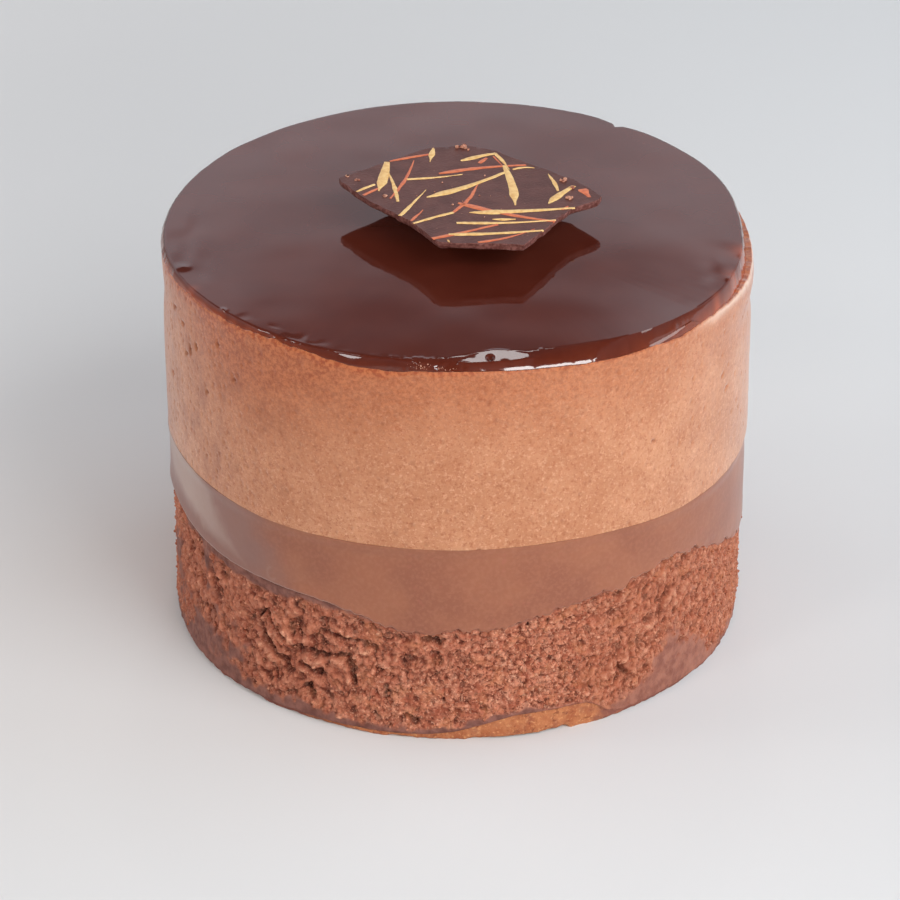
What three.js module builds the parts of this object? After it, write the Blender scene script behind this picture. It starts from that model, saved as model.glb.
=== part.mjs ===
// A small round chocolate mousse cake, set in layers in a pastry ring: a thin golden biscuit
// base, cocoa sponge, chocolate cream, mousse and a mirror glaze. A broken chocolate plaque
// stands on it, on a dot of ganache.
//
// Millimetres, +Z up. The origin is where the axis of the cake meets the floor, and the front
// of the cake is -Y. An azimuth is an angle in degrees round the axis: 0 at the front, and
// positive towards +X.

import * as THREE from 'three';

// Driving dimensions
const RING_RADIUS = 35;
const GLAZE_TOP = 50.75;
const LAYER_GAP = 0.2;
const PLAQUE_THICKNESS = 0.9;
const PLAQUE_RISE = 3.8;
const PLAQUE_TILT = { x: -1, y: 1.7 };
const PLAQUE_CENTRE = { x: 1.3, y: -0.2 };

// How far inside the ring each layer stands at its side
const INSETS = { biscuit: 0.75, sponge: 0.6, cream: 0.2, mousse: -0.04, glaze: 0.05 };

// Points round each layer, and loops up its side
const BISCUIT_GRID = { points: 90, loops: 3 };
const SPONGE_GRID = { points: 180, loops: 16 };
const CREAM_GRID = { points: 90, loops: 7 };
const MOUSSE_GRID = { points: 90, loops: 12 };
const GLAZE_GRID = { points: 120, rimSteps: 5 };

const SEEDS = { unevenness: 11, ripple: 23, pits: 37, crumbs: 53, plaqueEdge: 71 };

// The seams between the layers: their height at the side and on the axis, a ripple, and swells
// where a layer sank or rose as it set. A swell is at an azimuth, and falls to about a third of
// its rise at its width from there.
const SPONGE_SEAM = {
  side: 17.1,
  axis: 17,
  ripple: 0.2,
  swells: [
    { at: -78, width: 14, rise: 1.5 },
    { at: -9, width: 10, rise: -2.5 },
    { at: 9, width: 9, rise: -1.9 },
    { at: 46, width: 11, rise: 1.9 },
    { at: 82, width: 19, rise: -4.3 },
  ],
};
const CREAM_SEAM = {
  side: 26.1,
  axis: 26,
  ripple: 0.15,
  swells: [
    { at: -98, width: 14, rise: -2 },
    { at: -38, width: 22, rise: -0.35 },
    { at: 60, width: 30, rise: -1 },
  ],
};
const MOUSSE_SEAM = {
  side: 49.2,
  axis: 49.3,
  ripple: 0.08,
  swells: [
    { at: -38, width: 12, rise: 0.45 },
    { at: -16, width: 11, rise: -0.35 },
    { at: 32, width: 20, rise: -0.6 },
    { at: 47, width: 5, rise: -0.4 },
    { at: 82, width: 32, rise: -1.9 },
  ],
};

// The biscuit is thin, with a thick wedge at the front that rises slowly and drops off steeply
const BISCUIT = {
  thickness: 0.6,
  axis: 1.6,
  wedge: 2.5,
  riseFrom: -24,
  riseOver: 38,
  risePower: 3.5,
  fallFrom: 25.5,
  fallOver: 8,
};

// Holes in the sponge: one to a cell of a loose grid that runs round its side
const PITS = {
  cellsRound: 60,
  cellHeight: 3.2,
  margin: 0.2,
  reach: { least: 0.9, most: 2.1 },
  depth: { least: 0.4, most: 1.6 },
  openness: 0.5,
};

// Patches of a side: an azimuth and a height with their widths, and an amount
const TORN_PATCHES = [
  { at: -31, width: 13, z: 9, height: 6, amount: 0.7 },
  { at: 150, width: 22, z: 8, height: 6, amount: 0.55 },
];
const FILM_PATCHES = [
  { at: -63, width: 14, z: 2, height: 4.5, amount: 0.85 },
  { at: 49, width: 17, z: 2.5, height: 4, amount: 0.85 },
  { at: -155, width: 20, z: 3, height: 4, amount: 0.85 },
];
const MOUSSE_PATCHES = [
  { at: -92, width: 16, z: 44, height: 2.5, amount: -0.28 },
  { at: 90, width: 20, z: 42.3, height: 1.8, amount: -0.28 },
  { at: 88, width: 22, z: 45.6, height: 1.4, amount: 0.14 },
];
const MOUSSE_SHOULDER = { drop: 0.9, inset: 0.35 };

// The lip of cream that hangs over the sponge, strongest on the left
const CREAM_LIP = { above: 0.8, height: 0.9, least: 0.06, at: -50, width: 45, amount: 0.08 };

// The glaze bulges over the side on the left, draws back from it on the right, and has a small
// notch at the back. The rounding of its rim is tight on the left and wide on the right.
const GLAZE_SWELLS = [
  { at: -78, width: 14, rise: 0.25 },
  { at: 88, width: 20, rise: -0.7 },
  { at: 144, width: 3.5, rise: -0.6 },
];
const GLAZE_RIPPLE = 0.1;
const RIM_REACH = 1.6;
const RIM_SWELLS = [
  { at: -42, width: 20, rise: -0.8 },
  { at: 35, width: 30, rise: 0.9 },
];

// The plaque's corners, from its centre, and the raggedness of the broken edges between them
const PLAQUE_CORNERS = {
  leftTip: [-15.5, 3.4],
  backLeft: [-5.2, 12.4],
  back: [-0.9, 14],
  backRight: [3.3, 12.4],
  shoulder: [12.5, 5],
  rightTip: [15.8, 0.2],
  rightChip: [15.3, -0.8],
  rightNotch: [12, -3.5],
  rightSide: [9.4, -8.3],
  frontRight: [6.4, -13.5],
  frontLeft: [-3.4, -13.5],
  leftSide: [-6.5, -8.5],
  leftNotch: [-11.5, -3],
  leftChip: [-13.8, 0.2],
};
const PLAQUE_EDGE = { step: 1.3, raggedness: 0.13 };

// The ganache dot: its foot, the swell of its side, and how much narrower its top is
const DOT = { radius: 3.6, swell: 0.43, taper: 0.72, gap: 0.4, points: 24, sideSteps: 6 };


// Noise and easing

function ease(t) {
  const clamped = Math.min(1, Math.max(0, t));
  return clamped * clamped * (3 - 2 * clamped);
}

function mix(a, b, t) {
  return a + (b - a) * t;
}

// A repeatable random number from 0 to 1 for a cell of a grid.
function hash(i, j, seed) {
  let bits = Math.imul(i, 374761393) + Math.imul(j, 668265263) + Math.imul(seed, 2246822519);
  bits = Math.imul(bits ^ (bits >>> 13), 1274126177);
  return ((bits ^ (bits >>> 16)) >>> 0) / 4294967296;
}

// The same for a cell of a grid that closes on itself round the cake.
function ringHash(i, j, cellsRound, seed) {
  return hash(((i % cellsRound) + cellsRound) % cellsRound, j, seed);
}

// Smooth noise from -1 to 1 that closes on itself round the cake.
function ringNoise(azimuth, z, cellsRound, cellHeight, seed) {
  const u = (azimuth / 360) * cellsRound;
  const v = z / cellHeight;
  const i = Math.floor(u);
  const j = Math.floor(v);
  const corner = (di, dj) => ringHash(i + di, j + dj, cellsRound, seed);
  const across = ease(u - i);
  const low = mix(corner(0, 0), corner(1, 0), across);
  const high = mix(corner(0, 1), corner(1, 1), across);
  return 2 * mix(low, high, ease(v - j)) - 1;
}

// A bump of height 1 at a distance of 0, down to about a third at one width.
function bump(distance, width) {
  return Math.exp(-((distance / width) ** 2));
}

// The same round the cake, where -180 and 180 are one azimuth.
function ringBump(azimuth, at, width) {
  return bump(((azimuth - at + 540) % 360) - 180, width);
}

function sumOf(list, valueOf) {
  return list.reduce((sum, item) => sum + valueOf(item), 0);
}

function swellAt(swells, azimuth) {
  return sumOf(swells, ({ at, width, rise }) => rise * ringBump(azimuth, at, width));
}

function patchAt(patches, azimuth, z) {
  return sumOf(patches, (patch) => {
    return patch.amount * ringBump(azimuth, patch.at, patch.width) * bump(z - patch.z, patch.height);
  });
}


// Heights at the side of the cake

function seamHeight(seam) {
  const row = Math.round(seam.side);
  return (azimuth) => {
    const ripple = seam.ripple * ringNoise(azimuth, row, 24, 1, SEEDS.ripple);
    return seam.side + swellAt(seam.swells, azimuth) + ripple;
  };
}

const spongeTop = seamHeight(SPONGE_SEAM);
const creamTop = seamHeight(CREAM_SEAM);
const mousseTop = seamHeight(MOUSSE_SEAM);

function biscuitTop(azimuth) {
  const rise = ease((azimuth - BISCUIT.riseFrom) / BISCUIT.riseOver) ** BISCUIT.risePower;
  const fall = ease((azimuth - BISCUIT.fallFrom) / BISCUIT.fallOver);
  return BISCUIT.thickness + BISCUIT.wedge * rise * (1 - fall);
}

// The underside of a layer, clear of the one that it lies on.
function above(height) {
  return (azimuth) => height(azimuth) + LAYER_GAP;
}


// Solids from loops

function pointAt(radius, azimuth, z) {
  const angle = THREE.MathUtils.degToRad(azimuth);
  return [radius * Math.sin(angle), -radius * Math.cos(angle), z];
}

// One loop round the cake, from the radius and the height at each azimuth.
function loop(count, radiusAt, heightAt) {
  return Array.from({ length: count }, (_, k) => {
    const azimuth = (360 * k) / count - 180;
    const z = heightAt(azimuth);
    return pointAt(radiusAt(azimuth, z), azimuth, z);
  });
}

// Loops evenly spaced from the bottom to the top of a layer's side.
function sideLoops({ points, loops }, radiusAt, bottomAt, topAt) {
  return Array.from({ length: loops }, (_, row) => {
    const up = row / (loops - 1);
    return loop(points, radiusAt, (azimuth) => mix(bottomAt(azimuth), topAt(azimuth), up));
  });
}

// A closed body: a fan from the axis to the first loop, bands between the loops, and a fan from
// the last loop back to the axis.
function loft(loops, bottomAtAxis, topAtAxis) {
  const count = loops[0].length;
  const positions = [0, 0, bottomAtAxis, ...loops.flat(2), 0, 0, topAtAxis];
  const topCentre = 1 + loops.length * count;
  const topLoop = topCentre - count;
  const indices = [];
  for (let k = 0; k < count; k += 1) {
    const next = (k + 1) % count;
    indices.push(0, 1 + next, 1 + k);
    for (let row = 0; row < loops.length - 1; row += 1) {
      const low = 1 + row * count;
      const high = low + count;
      indices.push(low + k, low + next, high + next);
      indices.push(low + k, high + next, high + k);
    }
    indices.push(topCentre, topLoop + k, topLoop + next);
  }
  const geometry = new THREE.BufferGeometry();
  geometry.setAttribute('position', new THREE.Float32BufferAttribute(positions, 3));
  geometry.setIndex(indices);
  geometry.computeVertexNormals();
  return geometry;
}

function piece(name, geometry, color, roughness) {
  const material = new THREE.MeshStandardMaterial({ color, roughness, metalness: 0 });
  const mesh = new THREE.Mesh(geometry, material);
  mesh.name = name;
  return mesh;
}

// The slow unevenness of a side that was set against a ring.
function unevenness(azimuth, z, amount) {
  return amount * ringNoise(azimuth, z, 18, 8, SEEDS.unevenness);
}


// Biscuit base: thin, and thick only at the front, where it shows as a golden wedge

function biscuitRadius(azimuth, z) {
  const crumbs = 0.12 * ringNoise(azimuth, z, 60, 1.5, SEEDS.crumbs);
  return RING_RADIUS - INSETS.biscuit + crumbs;
}

function makeBiscuitBase() {
  const loops = sideLoops(BISCUIT_GRID, biscuitRadius, () => 0, biscuitTop);
  return piece('biscuit_base', loft(loops, 0, BISCUIT.axis), 0xc98a55, 0.9);
}


// Sponge: an open, torn crumb with holes and crumbs, smoother where a film of cream covers it

// The depth of the deepest hole that reaches a point, from the cells round it.
function pitDepth(azimuth, z) {
  const cellWidth = (2 * Math.PI * RING_RADIUS) / PITS.cellsRound;
  const u = (azimuth / 360) * PITS.cellsRound;
  const v = z / PITS.cellHeight;
  let deepest = 0;
  for (let i = Math.floor(u) - 1; i <= Math.floor(u) + 1; i += 1) {
    for (let j = Math.floor(v) - 1; j <= Math.floor(v) + 1; j += 1) {
      const random = (n) => ringHash(i, j, PITS.cellsRound, SEEDS.pits + n);
      const place = (n) => mix(PITS.margin, 1 - PITS.margin, random(n));
      const across = (u - i - place(0)) * cellWidth;
      const up = (v - j - place(1)) * PITS.cellHeight;
      const reach = mix(PITS.reach.least, PITS.reach.most, random(2));
      const depth = mix(PITS.depth.least, PITS.depth.most, random(3));
      const inside = Math.max(0, 1 - (across * across + up * up) / (reach * reach));
      deepest = Math.max(deepest, depth * inside);
    }
  }
  return deepest;
}

function spongeRadius(azimuth, z) {
  const film = Math.min(1, patchAt(FILM_PATCHES, azimuth, z));
  const open = (PITS.openness + patchAt(TORN_PATCHES, azimuth, z)) * (1 - film);
  const crumbs = 0.2 * ringNoise(azimuth, z, 90, 2.2, SEEDS.crumbs);
  const side = RING_RADIUS - INSETS.sponge + unevenness(azimuth, z, 0.12);
  return side + crumbs - open * pitDepth(azimuth, z);
}

function makeSponge() {
  const loops = sideLoops(SPONGE_GRID, spongeRadius, above(biscuitTop), spongeTop);
  const geometry = loft(loops, BISCUIT.axis + LAYER_GAP, SPONGE_SEAM.axis);
  return piece('sponge', geometry, 0x8a4a34, 0.95);
}


// Chocolate cream: smooth, with a lip along its lower edge

function creamRadius(azimuth, z) {
  const aboveLip = z - spongeTop(azimuth) - CREAM_LIP.above;
  const strength = CREAM_LIP.least
    + CREAM_LIP.amount * ringBump(azimuth, CREAM_LIP.at, CREAM_LIP.width);
  const side = RING_RADIUS - INSETS.cream + unevenness(azimuth, z, 0.1);
  return side + strength * bump(aboveLip, CREAM_LIP.height);
}

function makeChocolateCream() {
  const loops = sideLoops(CREAM_GRID, creamRadius, above(spongeTop), creamTop);
  const geometry = loft(loops, SPONGE_SEAM.axis + LAYER_GAP, CREAM_SEAM.axis);
  return piece('chocolate_cream', geometry, 0x8d5a46, 0.45);
}


// Mousse: a set wall with a shallow waist at each side, and rounded off under the glaze

function mousseRadius(azimuth, z) {
  const belowTop = mousseTop(azimuth) - z;
  const shoulder = MOUSSE_SHOULDER.inset * (1 - ease(belowTop / MOUSSE_SHOULDER.drop));
  const side = RING_RADIUS - INSETS.mousse + unevenness(azimuth, z, 0.1);
  return side + patchAt(MOUSSE_PATCHES, azimuth, z) - shoulder;
}

function makeMousse() {
  const shoulderFoot = (azimuth) => mousseTop(azimuth) - MOUSSE_SHOULDER.drop / 2;
  const loops = sideLoops(MOUSSE_GRID, mousseRadius, above(creamTop), shoulderFoot);
  loops.push(loop(MOUSSE_GRID.points, mousseRadius, mousseTop));
  const geometry = loft(loops, CREAM_SEAM.axis + LAYER_GAP, MOUSSE_SEAM.axis);
  return piece('mousse', geometry, 0xc98e6e, 0.7);
}


// Glaze: a level pool with a rounded rim

const glazeBottom = above(mousseTop);

function glazeRadius(azimuth) {
  const ripple = GLAZE_RIPPLE * ringNoise(azimuth, 0, 40, 1, SEEDS.ripple);
  return RING_RADIUS - INSETS.glaze + swellAt(GLAZE_SWELLS, azimuth) + ripple;
}

// How far in from the side the rounding of the rim reaches.
function rimReach(azimuth) {
  return RIM_REACH + swellAt(RIM_SWELLS, azimuth);
}

// How far below the top it starts, which leaves a strip of upright side below it.
function rimDrop(azimuth) {
  return Math.min(rimReach(azimuth), 0.8 * (GLAZE_TOP - glazeBottom(azimuth)));
}

function makeGlaze() {
  const underside = 0.25;
  const { points, rimSteps } = GLAZE_GRID;
  const rimFoot = (azimuth) => GLAZE_TOP - rimDrop(azimuth);
  const loops = [
    loop(points, (azimuth) => glazeRadius(azimuth) - underside, glazeBottom),
    loop(points, glazeRadius, (azimuth) => mix(glazeBottom(azimuth), rimFoot(azimuth), 0.6)),
  ];
  for (let step = 0; step <= rimSteps; step += 1) {
    const turn = (Math.PI / 2) * (step / rimSteps);
    const radiusAt = (azimuth) => glazeRadius(azimuth) - rimReach(azimuth) * (1 - Math.cos(turn));
    const heightAt = (azimuth) => GLAZE_TOP - rimDrop(azimuth) * (1 - Math.sin(turn));
    loops.push(loop(points, radiusAt, heightAt));
  }
  return piece('glaze', loft(loops, MOUSSE_SEAM.axis + LAYER_GAP, GLAZE_TOP), 0x3f1a14, 0.06);
}


// Ganache dot: a squat piped drop, pressed flat by the plaque

function makePlaqueDot() {
  const height = PLAQUE_RISE - PLAQUE_THICKNESS - DOT.gap;
  const profile = [new THREE.Vector2(0, 0)];
  for (let step = 0; step <= DOT.sideSteps; step += 1) {
    const up = step / DOT.sideSteps;
    const radius = DOT.radius + DOT.swell * Math.sin(Math.PI * up) - DOT.taper * up * up;
    profile.push(new THREE.Vector2(radius, height * up));
  }
  profile.push(new THREE.Vector2(0, height));
  const dot = piece('plaque_dot', new THREE.LatheGeometry(profile, DOT.points), 0x3a1c14, 0.5);
  dot.rotation.x = Math.PI / 2;
  dot.position.set(PLAQUE_CENTRE.x, PLAQUE_CENTRE.y, GLAZE_TOP);
  return dot;
}


// Plaque: a thin shard of tempered chocolate, broken off by hand

function plaqueOutline() {
  const corners = Object.values(PLAQUE_CORNERS).map(([x, y]) => new THREE.Vector2(x, y));
  const outline = [];
  corners.forEach((corner, side) => {
    const next = corners[(side + 1) % corners.length];
    const steps = Math.max(1, Math.round(corner.distanceTo(next) / PLAQUE_EDGE.step));
    const outward = new THREE.Vector2(corner.y - next.y, next.x - corner.x).normalize();
    outline.push(corner);
    for (let step = 1; step < steps; step += 1) {
      const ragged = PLAQUE_EDGE.raggedness * (2 * hash(side, step, SEEDS.plaqueEdge) - 1);
      const onSide = corner.clone().lerp(next, step / steps);
      outline.push(onSide.addScaledVector(outward, ragged));
    }
  });
  return outline;
}

function makePlaque() {
  const geometry = new THREE.ExtrudeGeometry(
    new THREE.Shape(plaqueOutline()), { depth: PLAQUE_THICKNESS, bevelEnabled: false });
  const underside = GLAZE_TOP + PLAQUE_RISE - PLAQUE_THICKNESS;
  const seat = new THREE.Group();
  seat.position.set(PLAQUE_CENTRE.x, PLAQUE_CENTRE.y, underside);
  seat.rotation.x = THREE.MathUtils.degToRad(PLAQUE_TILT.x);
  seat.rotation.y = THREE.MathUtils.degToRad(PLAQUE_TILT.y);
  seat.add(piece('plaque', geometry, 0x4a2a26, 0.35));
  return seat;
}


const cake = new THREE.Group();
cake.add(
  makeBiscuitBase(),
  makeSponge(),
  makeChocolateCream(),
  makeMousse(),
  makeGlaze(),
  makePlaqueDot(),
  makePlaque(),
);

export default cake;
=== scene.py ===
# A small round chocolate mousse cake in layers, with a mirror glaze and a broken plaque on top.
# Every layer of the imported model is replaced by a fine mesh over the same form: the seams, the
# glaze's rim and the plaque's outline are read from the frame, and the crumb is worked out on
# top of them. Lengths are millimetres until a mesh is made. An azimuth, az, is an angle in
# degrees round the axis of the cake: 0 at the front, -Y, and positive towards +X.

import math
from itertools import combinations

import bpy
import numpy as np
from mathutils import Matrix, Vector


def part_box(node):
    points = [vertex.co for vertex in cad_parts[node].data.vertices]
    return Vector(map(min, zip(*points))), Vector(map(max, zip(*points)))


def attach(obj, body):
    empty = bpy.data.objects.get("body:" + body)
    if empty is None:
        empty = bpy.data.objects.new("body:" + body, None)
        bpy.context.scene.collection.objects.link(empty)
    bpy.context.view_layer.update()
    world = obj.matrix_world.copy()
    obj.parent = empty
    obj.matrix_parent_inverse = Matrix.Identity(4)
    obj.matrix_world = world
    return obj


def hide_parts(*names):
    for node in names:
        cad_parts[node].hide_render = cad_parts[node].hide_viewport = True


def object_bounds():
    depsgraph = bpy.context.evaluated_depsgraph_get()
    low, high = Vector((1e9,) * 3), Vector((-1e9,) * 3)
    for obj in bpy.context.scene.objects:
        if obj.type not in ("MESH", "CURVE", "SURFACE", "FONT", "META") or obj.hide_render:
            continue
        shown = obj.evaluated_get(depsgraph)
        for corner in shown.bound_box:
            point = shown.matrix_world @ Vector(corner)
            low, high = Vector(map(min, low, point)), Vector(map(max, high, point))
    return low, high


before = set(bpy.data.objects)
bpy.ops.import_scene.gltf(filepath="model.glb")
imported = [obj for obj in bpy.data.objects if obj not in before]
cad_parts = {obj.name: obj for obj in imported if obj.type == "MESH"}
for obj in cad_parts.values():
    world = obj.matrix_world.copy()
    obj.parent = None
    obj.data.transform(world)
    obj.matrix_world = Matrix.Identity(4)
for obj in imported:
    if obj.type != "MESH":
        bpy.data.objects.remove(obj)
CAD_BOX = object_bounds()

MM = .001
CAKE_RADIUS = 35
SIDE_LENGTH = 2 * math.pi * CAKE_RADIUS
MM_PER_DEGREE = SIDE_LENGTH / 360
# The size of the slow waves in the side of every layer
SLOW_WAVE = SIDE_LENGTH / 18


# Numbers that repeat: hashes and smooth noise on the side of the cake

def hash01(i, j, seed):
    """A repeatable random number from 0 to 1 for each cell of a grid."""
    bits = i.astype(np.int64) * 374761393 + j.astype(np.int64) * 668265263 + seed * 2246822519
    bits = (bits & 0xFFFFFFFF).astype(np.uint64)
    bits = ((bits ^ (bits >> np.uint64(13))) * np.uint64(1274126177)) & np.uint64(0xFFFFFFFF)
    return (bits ^ (bits >> np.uint64(16))).astype(float) / 4294967296


def ease(t):
    t = np.clip(t, 0, 1)
    return t * t * (3 - 2 * t)


def mix(a, b, t):
    return a + (b - a) * t


def bump(distance, width):
    return np.exp(-((distance / width) ** 2))


def ring_distance(az, at):
    return (az - at + 540) % 360 - 180


def ring_bump(az, at, width):
    return bump(ring_distance(az, at), width)


def grid_at(u, v, size):
    """Each point's place on a grid that closes round the cake, its cell, and the cells round."""
    count = max(1, round(SIDE_LENGTH / size))
    a, b = u / SIDE_LENGTH * count, v / size
    return a, b, np.floor(a), np.floor(b), count


def noise(u, v, size, seed):
    """Smooth noise from -1 to 1. u runs round the cake in mm and closes on itself, v is free."""
    a, b, i, j, count = grid_at(u, v, size)
    across, up = ease(a - i), ease(b - j)

    def corner(di, dj):
        return hash01((i + di) % count, j + dj, seed)

    low = mix(corner(0, 0), corner(1, 0), across)
    high = mix(corner(0, 1), corner(1, 1), across)
    return 2 * mix(low, high, up) - 1


def fractal(u, v, size, seed, octaves=3):
    """Noise at several sizes, each half as large and about half as strong as the one before."""
    return sum(noise(u, v, size / 2 ** k, seed + k) / 1.8 ** k for k in range(octaves))


NEIGHBOURS = [(di, dj) for di in (-1, 0, 1) for dj in (-1, 0, 1)]


def cells_at(u, v, size, seed):
    """Distance to the nearest and the second nearest point of a loose grid, in cell sizes, and
    a random number that belongs to the nearest."""
    a, b, i, j, count = grid_at(u, v, size)
    nearest = second = np.full(a.shape, 9.0)
    owner = np.zeros(a.shape)
    for di, dj in NEIGHBOURS:
        ci, cj = i + di, j + dj
        wrapped = ci % count
        du = a - ci - hash01(wrapped, cj, seed)
        dv = b - cj - hash01(wrapped, cj, seed + 1)
        distance = np.hypot(du, dv)
        closer = distance < nearest
        second = np.where(closer, nearest, np.minimum(second, distance))
        owner = np.where(closer, hash01(wrapped, cj, seed + 2), owner)
        nearest = np.where(closer, distance, nearest)
    return nearest, second, owner


def patches_at(az, z, patches):
    """Soft round patches, each an azimuth, a width in degrees, a height and a reach in mm."""
    return sum(ring_bump(az, at, width) * bump(z - height, reach)
               for at, width, height, reach in patches)


def through(stops, az, soft=3.0):
    """A soft curve round the cake through a few places, each an azimuth and a value."""
    places, values = zip(*stops.items())
    shifts = np.linspace(-soft, soft, 7)
    return sum(np.interp(az + shift, places, values, period=360) for shift in shifts) / 7


# The frame: heights and radii of each layer's side, as smooth functions of the azimuth

LAYERS = ("biscuit_base", "sponge", "chocolate_cream", "mousse", "glaze")


def vertices_of(node):
    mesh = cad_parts[node].data
    flat = np.empty(len(mesh.vertices) * 3, np.float32)
    mesh.vertices.foreach_get("co", flat)
    return flat.reshape(-1, 3).astype(float) / MM


def around(values):
    """A smooth closed curve through values that are evenly spaced from azimuth -180."""
    count = len(values)

    def at(az):
        place = (np.asarray(az) + 180) % 360 / 360 * count
        k = np.floor(place).astype(int)
        t = place - k
        before, here, there, after = (values[(k + step) % count] for step in (-1, 0, 1, 2))
        return (
            here * (1 + 2 * t) * (1 - t) ** 2
            + (there - before) / 2 * t * (1 - t) ** 2
            + there * t * t * (3 - 2 * t)
            - (after - here) / 2 * t * t * (1 - t)
        )

    return at


def side_of(node):
    """The lowest height, the highest height and the greatest radius of a layer's side."""
    x, y, z = vertices_of(node).T
    radius = np.hypot(x, y)
    at_side = radius > .9 * radius.max()
    turn = np.round((np.degrees(np.arctan2(x, -y)) + 180) % 360, 1) % 360
    low, high, far = [], [], []
    for place in np.unique(turn[at_side]):
        here = at_side & (turn == place)
        low.append(z[here].min())
        high.append(z[here].max())
        far.append(radius[here].max())
    return {"low": around(np.array(low)), "high": around(np.array(high)),
            "radius": around(np.array(far))}


SIDES = {node: side_of(node) for node in LAYERS}


def seam(lower, upper):
    """The height of the seam between two layers: the middle of the gap between their solids."""
    return lambda az: (SIDES[lower]["high"](az) + SIDES[upper]["low"](az)) / 2


biscuit_top = seam("biscuit_base", "sponge")
sponge_top = seam("sponge", "chocolate_cream")
cream_top = seam("chocolate_cream", "mousse")
glaze_seam = seam("mousse", "glaze")
GLAZE_TOP = vertices_of("glaze")[:, 2].max()
# How ragged the glaze's foot is, as azimuth and mm
FOOT_RAGGED = {
    -110: .06, -75: .14, -34: .16, -24: .06, -12: .08, 6: .03, 45: .05, 60: .12, 90: .12, 120: .06,
}


def mousse_top(az):
    u = az * MM_PER_DEGREE
    return glaze_seam(az) + through(FOOT_RAGGED, az) * fractal(u, 0 * u, 1.3, 603, 4)


# Meshes

def keep_in_box(points):
    """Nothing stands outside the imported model's box."""
    low, high = (np.array(corner) / MM for corner in CAD_BOX)
    return np.clip(points, low, high)


def show(thing):
    bpy.context.scene.collection.objects.link(thing)
    return thing


def new_mesh(name, points, faces, attributes=None, sharp=None):
    mesh = bpy.data.meshes.new(name)
    mesh.from_pydata((keep_in_box(points) * MM).tolist(), [], faces)
    mesh.polygons.foreach_set("use_smooth", [True] * len(mesh.polygons))
    for key, values in (attributes or {}).items():
        layer = mesh.attributes.new(key, "FLOAT", "POINT")
        layer.data.foreach_set("value", np.ascontiguousarray(values, np.float32))
    if sharp:
        mesh.set_sharp_from_angle(angle=math.radians(sharp))
    mesh.validate()
    return show(bpy.data.objects.new(name, mesh))


def ring_solid(name, x, y, z, bottom_centre, top_centre, attributes=None, sharp=None):
    """A closed body from rows of points that run round it, with a fan to a centre at each end."""
    rows, count = x.shape
    points = np.concatenate([
        [bottom_centre], np.stack([x, y, z], -1).reshape(-1, 3), [top_centre]])
    first = 1 + np.arange(count)
    following = 1 + (np.arange(count) + 1) % count
    faces = [(0, int(b), int(a)) for a, b in zip(first, following)]
    for row in range(rows - 1):
        low, high = row * count, (row + 1) * count
        quads = np.stack([first + low, following + low, following + high, first + high], -1)
        faces.extend(map(tuple, quads.tolist()))
    top, last = len(points) - 1, (rows - 1) * count
    faces.extend((top, int(a + last), int(b + last)) for a, b in zip(first, following))
    padded = {
        key: np.concatenate([[values[0].mean()], values.ravel(), [values[-1].mean()]])
        for key, values in (attributes or {}).items()
    }
    return new_mesh(name, points, faces, padded, sharp)


def on_ring(radius, az):
    angle = np.radians(az)
    return radius * np.sin(angle), -radius * np.cos(angle)


def turns(count, at=0, width=70, extra=0):
    """Azimuths all the way round, closer together by a share near one place."""
    even = np.linspace(-180, 180, 4 * count + 1)
    weight = np.concatenate([[0], np.cumsum(1 + extra * ring_bump(even[1:], at, width))])
    return np.interp(np.linspace(0, weight[-1], count, endpoint=False), weight, even)


def side_grid(columns, rows, bottom, top):
    """Azimuth, distance round the side and height of each point of a layer's side."""
    az = columns[None, :].repeat(len(rows), 0)
    z = mix(bottom(az), top(az), rows[:, None])
    return az, az * MM_PER_DEGREE, z


def lumps(name, centres, sizes, seed, attributes=None):
    """Small uneven grains: an icosahedron at each centre, with its corners pushed about."""
    golden = (1 + math.sqrt(5)) / 2
    corners = np.array([
        np.roll((0, a, b * golden), turn) for turn in range(3) for a in (-1, 1) for b in (-1, 1)])
    apart = lambda i, j: np.linalg.norm(corners[i] - corners[j])
    faces = []
    # Three corners make a face where all of them are one edge apart, and an edge is 2 long
    for i, j, k in combinations(range(12), 3):
        if max(apart(i, j), apart(j, k), apart(i, k)) < 2.1:
            outward = np.linalg.det(corners[[i, j, k]]) > 0
            faces.append((i, j, k) if outward else (i, k, j))
    random = np.random.default_rng(seed)
    corners /= np.linalg.norm(corners[0])
    stretch = random.uniform(.7, 1.3, (len(centres), 1, 3))
    push = random.uniform(.72, 1.2, (len(centres), 12, 1))
    points = centres[:, None] + corners * stretch * push * sizes[:, None, None]
    every = np.array(faces)[None] + 12 * np.arange(len(centres))[:, None, None]
    spread_out = {key: values.repeat(12) for key, values in (attributes or {}).items()}
    return new_mesh(name, points.reshape(-1, 3), every.reshape(-1, 3).tolist(), spread_out)


def finish_piece(piece, material, node=None):
    piece.data.materials.append(material)
    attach(piece, "root")
    if node:
        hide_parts(node)


# Materials: small helpers that add one node each and return its output

def put(socket, value):
    """Links an input to another node's output, or sets its value."""
    if isinstance(value, bpy.types.NodeSocket):
        socket.id_data.links.new(value, socket)
    else:
        socket.default_value = value


def feed(node, **inputs):
    """Puts values in a node's inputs, named with underscores for spaces."""
    for key, value in inputs.items():
        put(node.inputs[key.replace("_", " ")], value)


def new_material(name, roughness, specular, colour=(1, 1, 1, 1)):
    mat = bpy.data.materials.new(name)
    mat.use_nodes = True
    shader = next(n for n in mat.node_tree.nodes if n.type == "BSDF_PRINCIPLED")
    feed(shader, Base_Color=colour, Roughness=roughness, Specular_IOR_Level=specular)
    return mat, mat.node_tree, shader


def add(tree, kind, settings=None, **inputs):
    made = tree.nodes.new(kind)
    for key, value in (settings or {}).items():
        setattr(made, key, value)
    feed(made, **inputs)
    return made


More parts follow.
